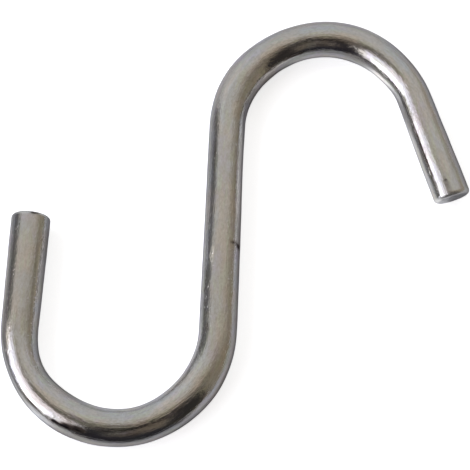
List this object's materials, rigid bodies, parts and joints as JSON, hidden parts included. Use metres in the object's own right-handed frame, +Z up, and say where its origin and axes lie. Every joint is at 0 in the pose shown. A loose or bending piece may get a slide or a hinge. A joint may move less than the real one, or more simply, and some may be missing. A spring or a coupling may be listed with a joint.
{
  "type": "s hook",
  "caption": "S-shaped hook bent from round bright-plated wire, with a flared open upper crook and a U-shaped lower crook.",
  "frame": {"origin": "under the middle of the bounding box of the hook as it lies flat, on the surface it lies on", "axes": "+Z up, square to the plane that the wire is bent in; +Y along the shank towards the upper crook; +X to the side that the upper crook opens to"},
  "size_m": [0.075, 0.0734, 0.006],
  "materials": {
    "bright_plating": "bright plating on drawn steel wire, with faint draw lines and specks"
  },
  "bodies": {
    "root": {"hook": "bright_plating"}
  },
  "joints": []
}
